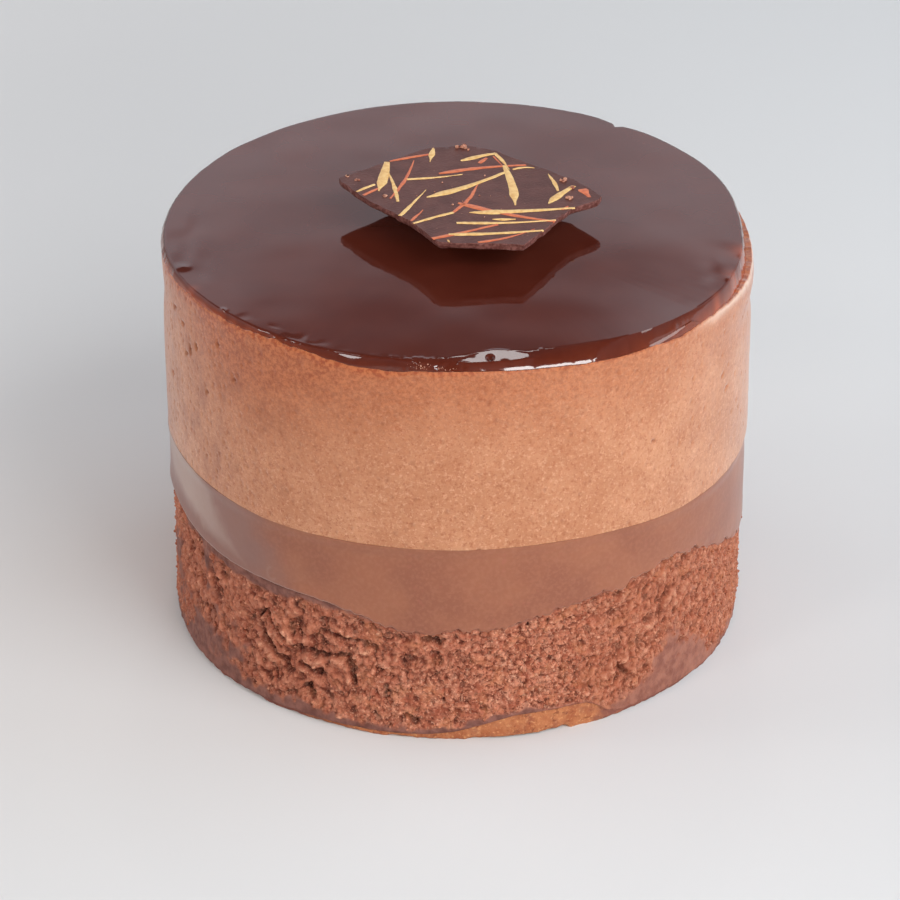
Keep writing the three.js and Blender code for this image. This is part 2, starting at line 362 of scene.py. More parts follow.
def place(tree):
    return add(tree, "ShaderNodeTexCoord").outputs["Object"]


def grain(tree, size, detail=3.0, roughness=.55):
    """Noise whose features are about size mm across."""
    made = add(
        tree, "ShaderNodeTexNoise", Vector=place(tree), Scale=1 / (size * MM), Detail=detail,
        Roughness=roughness)
    return made.outputs["Fac"]


def dots(tree, size):
    """Distance from the nearest of many loose points that are about size mm apart."""
    made = add(tree, "ShaderNodeTexVoronoi", Vector=place(tree), Scale=1 / (size * MM))
    return made.outputs["Distance"]


def crumbs(tree, size, warp):
    """Uneven grains about size mm across: the distance from the middle of each, and a random
    colour that belongs to it."""
    wobble = add(tree, "ShaderNodeTexNoise", Vector=place(tree), Scale=1 / (size * MM), Detail=2.0)
    moved = add(tree, "ShaderNodeVectorMath", {"operation": "MULTIPLY_ADD"})
    for socket, value in zip(moved.inputs, (wobble.outputs["Color"], (warp * size * MM,) * 3, place(tree))):
        put(socket, value)
    made = add(tree, "ShaderNodeTexVoronoi", Vector=moved.outputs[0], Scale=1 / (size * MM))
    return made.outputs["Distance"], made.outputs["Color"]


def attribute(tree, key):
    return add(tree, "ShaderNodeAttribute", {"attribute_name": key}).outputs["Fac"]


def spread(field, low, high, to_low=0, to_high=1.0):
    """A field that goes softly from one value to another between low and high."""
    made = add(
        field.id_data, "ShaderNodeMapRange", {"interpolation_type": "SMOOTHSTEP"}, Value=field,
        From_Min=low, From_Max=high, To_Min=to_low, To_Max=to_high)
    return made.outputs["Result"]


def blend(factor, a, b):
    """Colour a where the factor is 0 and b where it is 1."""
    made = add(factor.id_data, "ShaderNodeMix", {"data_type": "RGBA"})
    for index, value in ((0, factor), (6, a), (7, b)):
        put(made.inputs[index], value)
    return made.outputs[2]


def layered(colour, layers):
    """Colours laid over one another. Each layer has a field, the values of it between which the
    layer sets in, how strong it is at both, and its colour."""
    for field, low, high, at_low, at_high, over in layers:
        colour = blend(spread(field, low, high, at_low, at_high), colour, over)
    return colour


def ramp(factor, stops):
    made = add(factor.id_data, "ShaderNodeValToRGB", Fac=factor)
    elements = made.color_ramp.elements
    while len(elements) < len(stops):
        elements.new(.5)
    for element, (position, colour) in zip(elements, stops):
        element.position = position
        element.color = (*colour[:3], 1)
    return made.outputs["Color"]


def colour_from(shader, colour, **over):
    """Colours the shader, with other colours over it as far as mesh attributes say."""
    for key, value in over.items():
        colour = blend(attribute(shader.id_data, key), colour, value)
    feed(shader, Base_Color=colour)


def relief(shader, size, detail, depth):
    """A bump of noise about size mm across and of the given depth in mm."""
    height = grain(shader.id_data, size, detail)
    made = add(shader.id_data, "ShaderNodeBump", Height=height, Distance=depth * MM, Strength=1.0)
    feed(shader, Normal=made.outputs["Normal"])


def translucent(shader, weight, scale):
    """Light that goes in and comes out again, red the furthest. The scale is in mm."""
    feed(shader, Subsurface_Weight=weight, Subsurface_Radius=(1.0, .45, .3),
         Subsurface_Scale=scale * MM)


def frosty(shader, weight):
    """A pale bloom that shows where the surface turns away."""
    feed(shader, Sheen_Weight=weight, Sheen_Roughness=.4, Sheen_Tint=(.86, .94, 1.0, 1))


def rgb(*screen):
    """A colour as read on a screen, as the linear values that a shader takes."""
    shares = [value / 255 for value in screen]
    return (*(c / 12.92 if c <= .04045 else ((c + .055) / 1.055) ** 2.4 for c in shares), 1)


# Biscuit base

BISCUIT_RADIUS = 34.25
BISCUIT_ROWS, BISCUIT_COLUMNS = 14, 1100
WEDGE_START, WEDGE_END = -34, 33


def biscuit_material():
    mat, tree, shader = new_material("golden_biscuit", roughness=.7, specular=.3)
    baked = layered(rgb(181, 114, 74), [
        (grain(tree, 1.6), .35, .7, 0, 1, rgb(160, 90, 57)),
        (grain(tree, .35), .5, .75, 0, 1, rgb(204, 144, 98)),
        (grain(tree, .5), .3, .44, .75, 0, rgb(118, 58, 36)),
    ])
    colour_from(shader, baked, film=rgb(128, 76, 64))
    relief(shader, .3, 4, .12)
    translucent(shader, .2, .6)
    return mat


def make_biscuit():
    rows = np.linspace(0, 1, BISCUIT_ROWS)
    az, u, z = side_grid(
        turns(BISCUIT_COLUMNS, extra=.5), rows, lambda a: 0 * a, lambda a: biscuit_top(a) + .05)
    up = rows[:, None]
    radius = BISCUIT_RADIUS + .14 * noise(u, z, 3.1, 301) + .09 * fractal(u, z, .9, 302)
    chips = np.maximum(0, noise(u, 0 * u, 1.9, 305)) ** 2
    radius -= (.12 + .6 * chips) * bump(up, .14)
    radius -= .12 * bump(up - 1, .15)
    golden = ease((az - WEDGE_START) / 12) * ease((WEDGE_END - az) / 8)
    film = np.clip(1.05 - 1.1 * golden + .4 * fractal(u, z, 1.1, 308, 4), 0, 1)
    film = np.maximum(film, .5 * bump(up - 1, .06))
    lifted = .3 * ring_bump(az[0], 12, 9) + .3 * ring_bump(az[0], 18.6, 1.6)
    z[0] = np.maximum(0, lifted + .1 * fractal(u[0], 0 * u[0], 1.7, 307) + .3 * chips[0])
    x, y = on_ring(radius, az)
    piece = ring_solid(
        "biscuit_crumb", x, y, z, (0, 0, 0), (0, 0, 1.6), {"film": film}, sharp=60)
    finish_piece(piece, biscuit_material(), "biscuit_base")


# Sponge

SPONGE_RADIUS = 34.4
SPONGE_ROWS, SPONGE_COLUMNS = 85, 1130
# Patches of torn crumb and of smooth skin, as patches_at takes them
TORN = [(-35, 16, 9.0, 6.0), (-66, 13, 11.0, 4.5), (-8, 9, 11.5, 3.0), (46, 11, 13.2, 3.0),
        (33, 6, 6.4, 2.2), (150, 24, 8, 6), (-130, 20, 10, 5)]
FILM = [(-62, 15, 2.8, 5.2), (-80, 8, 10, 4.0), (-59, 4, 14.5, 3.6), (48.5, 7, 4.6, 4.2),
        (57, 8, 1.8, 2.8), (42, 9, 1.2, 2.2), (-160, 20, 3, 4), (118, 16, 2, 3.5)]
# How thick the skin is over the foot of the sponge and under the cream: azimuth and mm
FOOT_SKIN = {
    -100: .4, -60: 1.2, -30: 1.1, -16: .7, -6: .6, 4: .6, 9: .5, 15: .4, 19: .2, 22: 0, 32: 0,
    37: .6, 75: .8, 100: .3,
}
LIP_SKIN = {-95: 0, -72: 1.6, -45: 1.5, -32: 1.1, -20: .5, -12: 0, 180: 0}
# The loose grid of holes, as in the solid
PITS_ROUND = 60
PIT_CELL_HEIGHT = 3.2
PIT_MARGIN = .2
PIT_REACH = (.9, 2.1)
PIT_DEPTH = (.4, 1.6)
PIT_SEED = 37
# Torn cracks: azimuth and height of both ends, width and depth
CREVICES = [
    (-42.5, 9.6, -35.5, 5.2, .45, 1.5),
    (-43.5, 11.4, -41, 12.6, .35, 1),
    (-41, 12.4, -36, 9.8, .4, 1.1),
    (-42.6, 4.6, -39.4, 3.6, .3, .8),
    (-35, 8.9, -20.5, 9.6, .35, .9),
    (-33, 7, -27, 6.6, .4, 1),
    (-22, 9.6, -20, 6.4, .45, 1.2),
    (-31, 4.6, -29.5, 3.2, .6, 1.3),
    (-28, 12.8, -16, 11.8, .3, .8),
    (-14, 7, -13.2, 5.4, .45, 1),
    (-7, 14, -3, 13.2, .45, 1.2),
    (-10, 3.4, -7.5, 2.2, .4, .9),
    (-58, 13.8, -53, 11.4, .35, .8),
    (33, 6.8, 36, 5.2, .35, .9),
    (58.5, 18.4, 60, 16.9, .4, 1),
    (43, 3.4, 46.5, 2.8, .35, .7),
]


def sponge_material():
    mat, tree, shader = new_material("cocoa_sponge", roughness=.75, specular=.3)
    # On the sponge the level attribute makes this ramp painted shade and light: near black in its holes,
    # gaps and cracks, pale on crumbs that stand out. On the loose crumbs it is a random tone.
    tone = ramp(attribute(tree, "level"), [
        (0, rgb(46, 14, 9)), (.28, rgb(112, 54, 37)), (.5, rgb(170, 100, 74)),
        (.72, rgb(190, 119, 91)), (1, rgb(218, 156, 124))])
    away, shade = crumbs(tree, .7, warp=1.4)
    crumbly = layered(tone, [
        # Painted shade in the gaps between crumbs
        (away, .45, .8, 0, .4, rgb(116, 56, 39)),
        (shade, .5, .95, 0, .35, rgb(224, 164, 134)),
        (grain(tree, .34, 2), .52, .72, 0, .6, rgb(230, 172, 142)),
        (grain(tree, .32, 2), .34, .47, .75, 0, rgb(104, 47, 32)),
        (grain(tree, 1.5), .48, .72, 0, .6, rgb(156, 78, 54)),
        (grain(tree, 2.4, 2), .5, .75, 0, .4, rgb(200, 128, 86)),
    ])
    flaky = layered(tone, [
        (grain(tree, .8, 4), .38, .6, 0, .7, rgb(128, 60, 42)),
        (grain(tree, .4, 2), .5, .7, 0, .5, rgb(214, 148, 116)),
    ])
    torn = blend(attribute(tree, "soft"), crumbly, flaky)
    pinkish = attribute(tree, "pink")
    shaded = layered(torn, [(pinkish, 0, 1, 0, .3, rgb(146, 80, 52))])
    cloudy = spread(grain(tree, 1.4, 4), .35, .7)
    dull_skin = blend(cloudy, rgb(138, 92, 80), rgb(104, 64, 55))
    pink_skin = blend(cloudy, rgb(156, 102, 84), rgb(130, 80, 66))
    colour_from(shader, shaded, film=blend(pinkish, dull_skin, pink_skin))
    relief(shader, .3, 3, .12)
    translucent(shader, .2, .5)
    return mat


def pit_depth(u, v):
    """The same loose grid of holes as in the solid, sampled finely."""
    a, b = u / SIDE_LENGTH * PITS_ROUND, v / PIT_CELL_HEIGHT
    i, j = np.floor(a), np.floor(b)
    deepest = np.zeros(a.shape)
    for di, dj in NEIGHBOURS:
        random = [hash01((i + di) % PITS_ROUND, j + dj, PIT_SEED + n) for n in range(4)]
        across, up = (mix(PIT_MARGIN, 1 - PIT_MARGIN, value) for value in random[:2])
        du = (a - i - di - across) * SIDE_LENGTH / PITS_ROUND
        dv = (b - j - dj - up) * PIT_CELL_HEIGHT
        reach = mix(*PIT_REACH, random[2])
        inside = np.maximum(0, 1 - (du * du + dv * dv) / (reach * reach))
        deepest = np.maximum(deepest, mix(*PIT_DEPTH, random[3]) * ease(inside * 1.3))
    return deepest


def crevice_depth(az, u, v):
    """Long torn cracks with wandering edges."""
    total = np.zeros(az.shape)
    wander = .4 * noise(u, v, 1.4, 351) + .2 * noise(u, v, .6, 352)
    for start, low, end, high, width, depth in CREVICES:
        dx, dy = (end - start) * MM_PER_DEGREE, high - low
        length = math.hypot(dx, dy)
        px, py = ring_distance(az, start) * MM_PER_DEGREE, v - low
        along = (px * dx + py * dy) / length
        off = (py * dx - px * dy) / length + wander
        inside = ease((along + .4) / .8) * ease((length + .4 - along) / .8)
        total = np.maximum(total, depth * inside * bump(off, width))
    return total


def crumb_level(az, u, z):
    """Height of the torn crumb over the cut: clumps, crumbs and grains, less holes and cracks."""
    torn = patches_at(az, z, TORN)
    wu = u + .42 * noise(u, z, 1.7, 311) + .2 * noise(u, z, .75, 312)
    wv = z + .42 * noise(u, z, 1.7, 313) + .2 * noise(u, z, .75, 314)
    clump, _, clump_owner = cells_at(wu, wv, 1.8, 321)
    crumb, crumb_second, crumb_owner = cells_at(wu, wv, .9, 325)
    pore, _, pore_owner = cells_at(wu, wv, 1.15, 341)
    raised = (.2 + .28 * torn) * (.55 - clump) + (.08 + .24 * torn) * (clump_owner - .5)
    raised += .22 * (.5 - crumb) + .14 * (crumb_owner - .5)
    raised += .14 * fractal(u, z, .6, 331, 2)
    gaps = .24 * (1 - ease((crumb_second - crumb) / .22)) * (crumb_owner > .45)
    pores = .22 * ease((.5 * pore_owner - .06 - pore) / .2)
    pits = (.08 + .4 * torn) * pit_depth(wu, wv)
    return raised - gaps - pores - pits - crevice_depth(az, u, z)


def softness(az, z):
    """Where the crumb hangs together in softer lumps: the torn parts and the left."""
    return np.clip(.6 * patches_at(az, z, TORN) + .35 * ease((-14 - az) / 20), 0, .7)


def blurred(field, across, up):
    """The mean of a field over a block of points, closed round the cake."""
    total = sum(np.roll(field, k, 1) for k in range(-across, across + 1)) / (2 * across + 1)
    padded = np.pad(total, ((up, up), (0, 0)), mode="edge")
    rows = field.shape[0]
    return sum(padded[k:k + rows] for k in range(2 * up + 1)) / (2 * up + 1)


def film_cover(az, u, z):
    """Where the smooth skin from the ring is still on the sponge, from 0 to 1."""
    ragged = fractal(u, z, 2.2, 315, 4)
    crumbly = .25 * noise(u, z, .7, 319)
    skin = ease((patches_at(az, z, FILM) + .36 * ragged + crumbly - .4) / .5)
    over_foot = z - biscuit_top(az)
    foot_skin = through(FOOT_SKIN, az) * (1 + .5 * ragged + .6 * noise(u, z, .9, 318))
    under_lip = sponge_top(az) - z
    lip_skin = through(LIP_SKIN, az) * (1 + .4 * ragged)
    bands = np.maximum(1 - ease((over_foot - foot_skin + .25) / .5),
                       1 - ease((under_lip - lip_skin + .3) / .6))
    return np.maximum(skin, bands)


def sponge_side(az, u, z):
    """Radius of the sponge's side, the height of its crumb and the skin over it."""
    film = film_cover(az, u, z)
    lumpy = .07 + .06 * fractal(u, z, 1.7, 346)
    level = mix(crumb_level(az, u, z), lumpy, .85 * film)
    below_seam = sponge_top(az) - z
    flush = .3 * (1 - ease(below_seam / 3)) * (1 - ring_bump(az, -55, 32))
    slow = .12 * noise(u, z, SLOW_WAVE, 347)
    return SPONGE_RADIUS + slow + flush + level, level, film


def make_sponge(material):
    foot, head = .1, .3
    az, u, z = side_grid(
        turns(SPONGE_COLUMNS, extra=.6), np.linspace(0, 1, SPONGE_ROWS),
        lambda a: biscuit_top(a) - foot, lambda a: sponge_top(a) + head)
    radius, level, film = sponge_side(az, u, z)
    radius -= .4 * (1 - ease((sponge_top(az) - z + head) / .5))
    # The level attribute is painted shade and light: darker where the crumb lies below the crumb round it,
    # lighter where it stands out, with more contrast on the right
    surround = blurred(level, 5, 5)
    pink = pinkness(az)
    tone = np.clip(.5 + (1.15 + .5 * pink) * (level - surround) + .3 * surround, 0, 1)
    x, y = on_ring(radius, az)
    values = {"level": tone, "film": film, "soft": softness(az, z), "pink": pink}
    piece = ring_solid("sponge_crumb", x, y, z, (0, 0, 1.7), (0, 0, 17), values)
    finish_piece(piece, material, "sponge")


def pinkness(az):
    """The skin is pinker and paler on the right, greyer on the left, and the crumb is redder."""
    return ease((az - 8) / 30) * ease((150 - az) / 30)


CRUMB_COUNT = 9000
CRUMB_SIZE = (.08, .26)
CRUMB_SEED = 97


def make_crumbs(material):
    """Loose crumbs that stick out of the torn side, thin over the skin."""
    random = np.random.default_rng(CRUMB_SEED)
    az = random.uniform(-180, 180, CRUMB_COUNT)
    u = az * MM_PER_DEGREE
    size = mix(*CRUMB_SIZE, random.random(CRUMB_COUNT) ** 2)
    low, high = biscuit_top(az) + .3, sponge_top(az) + .1
    z = mix(low, high, random.random(CRUMB_COUNT))
    radius, _, film = sponge_side(az, u, z)
    soft = softness(az, z)
    kept = random.random(CRUMB_COUNT) > 1.2 * film + .6 * soft
    x, y = on_ring(radius - .2 * size, az)
    tone = np.clip(random.normal(.62, .17, CRUMB_COUNT), .2, 1)
    values = {"level": tone, "film": 0 * tone, "soft": soft, "pink": pinkness(az)}
    piece = lumps("sponge_crumbs", np.column_stack([x, y, z])[kept], size[kept], CRUMB_SEED + 1,
                  {key: value[kept] for key, value in values.items()})
    finish_piece(piece, material)


# Chocolate cream

CREAM_RADIUS = 34.84
CREAM_ROWS, CREAM_COLUMNS = 42, 1050
# A painted highlight with a clean edge, and a wider painted grey sheen under it, as corners of azimuth and
# height
PAINTED_HIGHLIGHT_OUTLINE = [(-48, 18.8), (-56.6, 24.3), (-63, 27.8), (-95, 27.8), (-95, 24), (-60, 20)]
PAINTED_SHEEN_OUTLINE = [(-34, 15), (-44, 28), (-100, 28), (-100, 15)]
# 1 where the cream's lower edge is a clean lip, 0 where the crumb makes it ragged
CRISP_LIP = {-95: 0, -80: 1, -30: 1, -18: .3, -8: 0, 180: 0}
# A faint curl left by the knife: azimuth, height and radius
CURL = (-38.3, 18.6, .75)


def cream_material():
    mat, tree, shader = new_material("chocolate_cream", roughness=.36, specular=.4)
    cloudy = layered(rgb(139, 83, 61), [
        (grain(tree, 7, 2), .3, .7, 0, 1, rgb(151, 93, 67)),
        (grain(tree, .45), .4, .7, 0, .25, rgb(172, 114, 88)),
        (grain(tree, 1.2, 2), .62, .8, 0, .5, rgb(160, 92, 74)),
    ])
    # Over the cream go a painted grey sheen on the left, and a painted highlight on the left and along the
    # lower lip, with a faint pale curl
    colour_from(shader, cloudy, mauve=rgb(132, 96, 87), pale=rgb(170, 143, 131))
    relief(shader, .7, 3, .012)
    translucent(shader, .2, .8)
    frosty(shader, .12)
    return mat


def inside_outline(az, z, corners, soft):
    """How far inside a convex outline of azimuths and heights each point lies, from 0 to 1."""
    inside = np.ones(az.shape)
    for (a0, z0), (a1, z1) in zip(corners, corners[1:] + corners[:1]):
        dx, dy = (a1 - a0) * MM_PER_DEGREE, z1 - z0
        off = dx * (z - z0) - dy * ring_distance(az, a0) * MM_PER_DEGREE
        inside = np.minimum(inside, ease(.5 + off / math.hypot(dx, dy) / soft))
    return inside


def make_cream():
    def foot(a):
        u = a * MM_PER_DEGREE
        ragged = .3 * noise(u, 0 * u, 1.5, 401) + .26 * fractal(u, 0 * u, .7, 402)
        return sponge_top(a) + ragged * (1 - .9 * through(CRISP_LIP, a))

    rows = np.linspace(0, 1, CREAM_ROWS) ** 1.4
    az, u, z = side_grid(turns(CREAM_COLUMNS, extra=.6), rows, foot, cream_top)
    above = z - foot(az)
    below = cream_top(az) - z
    crisp = through(CRISP_LIP, az)
    radius = CREAM_RADIUS + .1 * noise(u, z, SLOW_WAVE, 403) + .03 * noise(u, z, 4, 404)
    radius += .16 * crisp * bump(above - .4, .7)
    radius -= mix(.12, .32, crisp) * (1 - ease(above / .3)) ** 2
    dents = ring_bump(az, 50, 30) * np.maximum(0, fractal(u, z, 2.4, 405, 2)) * bump(above, 2)
    radius -= .1 * dents
    radius += .005 * noise(u, z, .9, 406)
    radius = mix(SIDES["mousse"]["radius"](az) - .05, radius, ease(below / 1.6))
    wander = .4 * fractal(u, z, 2.6, 407)
    # Painted highlight on the left, with a clean edge
    painted_highlight = inside_outline(az + 2 * wander, z + wander, PAINTED_HIGHLIGHT_OUTLINE, 2.2)
    painted_highlight *= mix(.45, .95, ease((-48 - az) / 20))
    # Painted grey sheen over the left of the cream
    mauve = .8 * inside_outline(az + 4 * wander, z + wander, PAINTED_SHEEN_OUTLINE, 7)
    curl_u = ring_distance(az, CURL[0]) * MM_PER_DEGREE
    curl = bump(np.hypot(curl_u, z - CURL[1]) - CURL[2], .16) * (curl_u + .6 * (z - CURL[1]) < .3)
    # Painted highlight along the crisp lip
    lip_highlight = .7 * crisp * bump(above - .14, .16)
    pale = np.clip(painted_highlight + lip_highlight + .16 * curl, 0, 1)
    x, y = on_ring(radius, az)
    piece = ring_solid(
        "cream_layer", x, y, z, (0, 0, 17.1), (0, 0, 26.1), {"pale": pale, "mauve": mauve},
        sharp=50)
    finish_piece(piece, cream_material(), "chocolate_cream")


# Mousse

MOUSSE_RADIUS = 35.02
MOUSSE_ROWS, MOUSSE_COLUMNS = 92, 1020
# Larger pores: azimuth, height, half length, half height and lean
PORES = [
    (-64.5, 41.1, .5, .22, .2), (-60, 43.2, .25, .5, .3), (-70.5, 45.4, .7, .3, .3),
    (-66, 44.6, .5, .25, -.2), (-62.5, 42, .22, .6, .2), (-47, 42.3, .35, .25, 0),
    (-56, 38.4, .3, .25, 0), (-73, 36, .5, .25, 0), (62, 39, .5, .18, .4),
    (64, 36.8, .6, .2, .3), (-52, 45.6, .3, .3, 0), (40, 36, .3, .22, 0),
]
# How far glaze has stained the mousse under its foot, and how strong the pale lip is: azimuth, value
STAIN_DEPTH = {-110: .7, -75: 1.5, -35: 1.3, -22: .8, -6: .45, 6: .3, 30: .2, 70: .12, 120: .3}
PALE_LIP = {-100: 0, 50: 0, 60: 1, 108: 1, 128: 0}


def mousse_material():
    mat, tree, shader = new_material("milk_chocolate_mousse", roughness=.55, specular=.35)
    mottled = layered(rgb(180, 121, 86), [
        (grain(tree, 6), .3, .7, 0, 1, rgb(197, 139, 103)),
        (grain(tree, 1.2, 4), .35, .65, 0, .35, rgb(178, 114, 79)),
        (grain(tree, .45, 5, .8), .5, .66, 0, .6, rgb(220, 168, 134)),
        (grain(tree, .55, 5, .85), .36, .5, .6, 0, rgb(150, 78, 44)),
        # Dark dots: painted shade in small pores that the mesh does not carve
        (dots(tree, .8), .05, .12, .5, 0, rgb(138, 66, 36)),
        (dots(tree, 1.3), .05, .1, .4, 0, rgb(130, 62, 34)),
    ])
    red = rgb(184, 106, 64)
    warm = layered(rgb(142, 68, 36), [(grain(tree, .5, 5, .8), .38, .62, 0, 1, red)])
    rusty = layered(rgb(152, 72, 38), [(grain(tree, .5), .4, .6, 0, 1, red)])
    # The pore colour is painted shade inside the pores
    colour_from(
        shader, mottled, warm=warm, pore=rgb(120, 56, 32), pale=rgb(216, 184, 162), stain=rusty)
    relief(shader, .35, 3, .03)
    translucent(shader, .2, .7)
    frosty(shader, .4)
    return mat


def pore_depth(az, u, z):
    total = np.zeros(az.shape)
    for at, height, length, thickness, lean in PORES:
        across = ring_distance(az, at) * MM_PER_DEGREE
        up = z - height
        inside = ((across + lean * up) / length) ** 2 + ((up - lean * across) / thickness) ** 2
        total = np.maximum(total, .3 * np.exp(-inside ** 2))
    return total


def make_mousse():
    az, u, z = side_grid(
        turns(MOUSSE_COLUMNS, extra=.4), np.linspace(0, 1, MOUSSE_ROWS), cream_top,
        lambda a: mousse_top(a) - .02)
    below_top = mousse_top(az) - z
    radius = MOUSSE_RADIUS + .1 * noise(u, z, SLOW_WAVE, 501)
    radius -= .28 * ring_bump(az, -92, 16) * bump(z - 44, 2.5)
    radius -= .3 * ring_bump(az, 90, 20) * bump(z - 42.4, 1.5)
    radius += .16 * ring_bump(az, 88, 22) * bump(z - 45.4, 1.3)
    radius += .03 * noise(u, z, 3, 502) + .016 * fractal(u, z, 1.1, 503)
    pore, _, owner = cells_at(u + .2 * noise(u, z, .8, 504), z, 1.0, 511)
    left = ring_bump(az, -70, 28)
    small = .1 * ease((.1 + .22 * owner - pore) / .14) * (owner > .92 - .5 * left)
    deep = pore_depth(az, u, z)
    radius -= small + deep
    radius -= .16 * (1 - ease(below_top / .5)) ** 2
    edge_depth = through(STAIN_DEPTH, az) * (1 + .6 * fractal(u, z, 1.3, 521, 4))
    stain = .9 * (1 - ease(below_top / np.maximum(.15, edge_depth) - .4))
    blotches = np.maximum(0, fractal(u, .5 * z, 1.4, 531, 4) - .1)
    smudges = .34 * ring_bump(az, -60, 28) * blotches
    # Painted shade inside the carved pores, with smudges on the left
    pore_shade_and_smudges = np.clip(2.2 * small + 2.2 * deep + smudges, 0, .65)
    duller = .5 * ring_bump(az, 60, 30) + .6 * ring_bump(az, -82, 26)
    warm = .65 * bump(below_top, 8) * (1 - duller)
    warm = np.clip(warm + .5 * ring_bump(az, -42, 20) * bump(below_top, 17), 0, .85)
    pale = through(PALE_LIP, az) * bump(below_top, .8 + .3 * noise(u, z, 3, 522))
    x, y = on_ring(radius, az)
    piece = ring_solid(
        "mousse_layer", x, y, z, (0, 0, 26.1), (0, 0, 49.3),
        {"stain": stain, "warm": warm, "pale": pale, "pore": pore_shade_and_smudges}, sharp=50)
    finish_piece(piece, mousse_material(), "mousse")


# Glaze

# The rim, as azimuth and mm: how far in it starts to fall, how steadily it falls, and how thin
# and red it is, from 0 to 1
RIM_REACH = {
    -150: 1.2, -70: .5, -26: .5, -20: .7, -10: .55, -3: .9, 1: 2.2, 5: 2.9, 10: 2.4, 16: 1.95,
    24: 1.6, 29: 1.3, 34: .78, 50: .62, 60: .45, 74: .5, 100: 1.1,
}
RIM_STEEPNESS = {-160: 2.4, -30: 2.2, -3: 2.4, 8: 3, 28: 2.2, 32: 1.05, 53: 1.05, 62: 2.2, 120: 2.4}
RIM_THIN = {
    -110: .6, -60: .9, -40: .6, -28: .25, -18: .1, 0: .12, 36: .2, 46: .4, 70: .9, 90: .8, 120: .5,
}
# The steep foot of the rim at the front, as azimuth and share, and its slope and width. The rim
# over it falls no more steeply than WALL_SLOPE.
RIM_FOOT = {-30: 0, 0: 0, 5: 1, 28: 1, 32: 0, 180: 0}
WALL_SLOPE = 1.65
FOOT_SLOPE = {-180: 2.12, 13: 2.12, 17: 2.18, 22: 2.12, 26: 2.04, 33: 1.96, 180: 1.96}
FOOT_WIDTH = .19
FOOT_UNEVEN = {-180: .16, 6: .16, 9: .05, 22: .05, 24: .24, 34: .24, 60: .16}
RIM_ROWS, GLAZE_COLUMNS = 30, 1000
# The pool is not quite level: how far its edge lies under its middle, as azimuth and mm
EDGE_SINK = {
    -150: .05, -120: .25, -95: .4, -75: .5, -60: .55, -38: .5, -20: .4, -6: .3, 9: .25, 30: .32,
    42: .5, 52: .72, 60: .85, 75: .7, 95: .45, 120: .2, 150: 0,
}
SINK_START, SINK_END = 4, 35
THINNEST_RIM = .25
# Flat facets in the front of the rim, with the outline of an almond: the azimuth that each faces,
# the radius where its plane would leave the pool and its slope, then the azimuth and radius of
# its middle, half length, half width, lean, bend, how much narrower its right half is, and how
# steep the wall from the rim's foot up to it is
FACETS = [
    (7, 31.35, .19, 7.1, 33.5, 4.9, 1.4, -.11, .042, .45, 1.7),
    (-20.2, 34.18, 1.31, -20.2, 34.7, 1.6, .07, 0, 0, 0, 9),
    (43, 33.68, 1.96, 45.5, 34.85, 4.4, .2, 0, 0, .5, 9),
]
# How far the outer side of a facet reaches, as a share of its inner side
OUTER_SHARE = 3
# An air bubble in the first facet: azimuth, radius, half width and depth
BUBBLE = (6.3, 33.65, .5, .35)
# A notch in the rim at the back: azimuth, depth, and half width in degrees
NOTCH = (144, .6, 1.3)
# Small marks on the rim: azimuth, radius from the axis, size and height
RIM_BUMPS = [
    (16.5, 33.1, .16, .06), (30.5, 34, .14, .05), (26.9, 34.85, .22, .1),
    (15.9, 34.3, .13, .05), (67, 34.85, .5, .25), (76, 34.8, .8, -.15),
    (-51, 34.5, .3, .14), (-1.7, 34, .3, .05), (-71, 33.9, .7, .12),
]
# Where the glaze is thin enough to show red: azimuth, radius, size and strength
THIN_SPOTS = [(69, 34.5, 1.1, .6), (60, 34.8, .8, .4), (-62, 34.8, .8, .4), (79, 34.6, 1.6, .9)]


def glaze_material():
    mat, tree, shader = new_material("mirror_glaze", roughness=.05, specular=.5)
    deep = layered(rgb(78, 30, 20), [(grain(tree, 9, 2), .3, .7, 0, 1, rgb(86, 36, 25))])
    colour_from(shader, deep, thin=rgb(152, 68, 36))
    translucent(shader, .1, .6)
    return mat


def with_facets(az, radius, z, inward, lowest):
    """The rim's height with the almond-shaped facets cut into it. inward is how far each point
    lies inside the outer edge, and lowest is the height of that edge."""
    for facet in FACETS:
        facing, start, slope, at, distance, half_length, half_width = facet[:7]
        lean, bend, narrower, wall = facet[7:]
        along = ring_distance(az, at) * MM_PER_DEGREE
        off = radius - distance - lean * along - bend * along ** 2
        half_widths = half_width * (1 - narrower * ease(along / half_length))
        half_widths = np.where(off > 0, OUTER_SHARE, 1) * half_widths
        pointed = np.abs(along / half_length) ** 1.4 + np.abs(off / half_widths) ** 2
        far = radius * np.cos(np.radians(ring_distance(az, facing)))
        waves = .018 * half_width * noise(along + 60, radius, 1.3, 617)
        plane = np.minimum(GLAZE_TOP - slope * (far - start) + waves, lowest + wall * inward)
        z = mix(z, plane, ease((1.05 - pointed) * 4))
    return z


def pool_sink(az, radius):
    """How far the pool lies under its middle. On the right it falls only near the rim."""
    outward = np.clip((radius - SINK_START) / (SINK_END - SINK_START), 0, 1)
    lateness = mix(1.5, 3.5, ring_bump(az, 75, 38))
    return through(EDGE_SINK, az, 8) * outward ** lateness


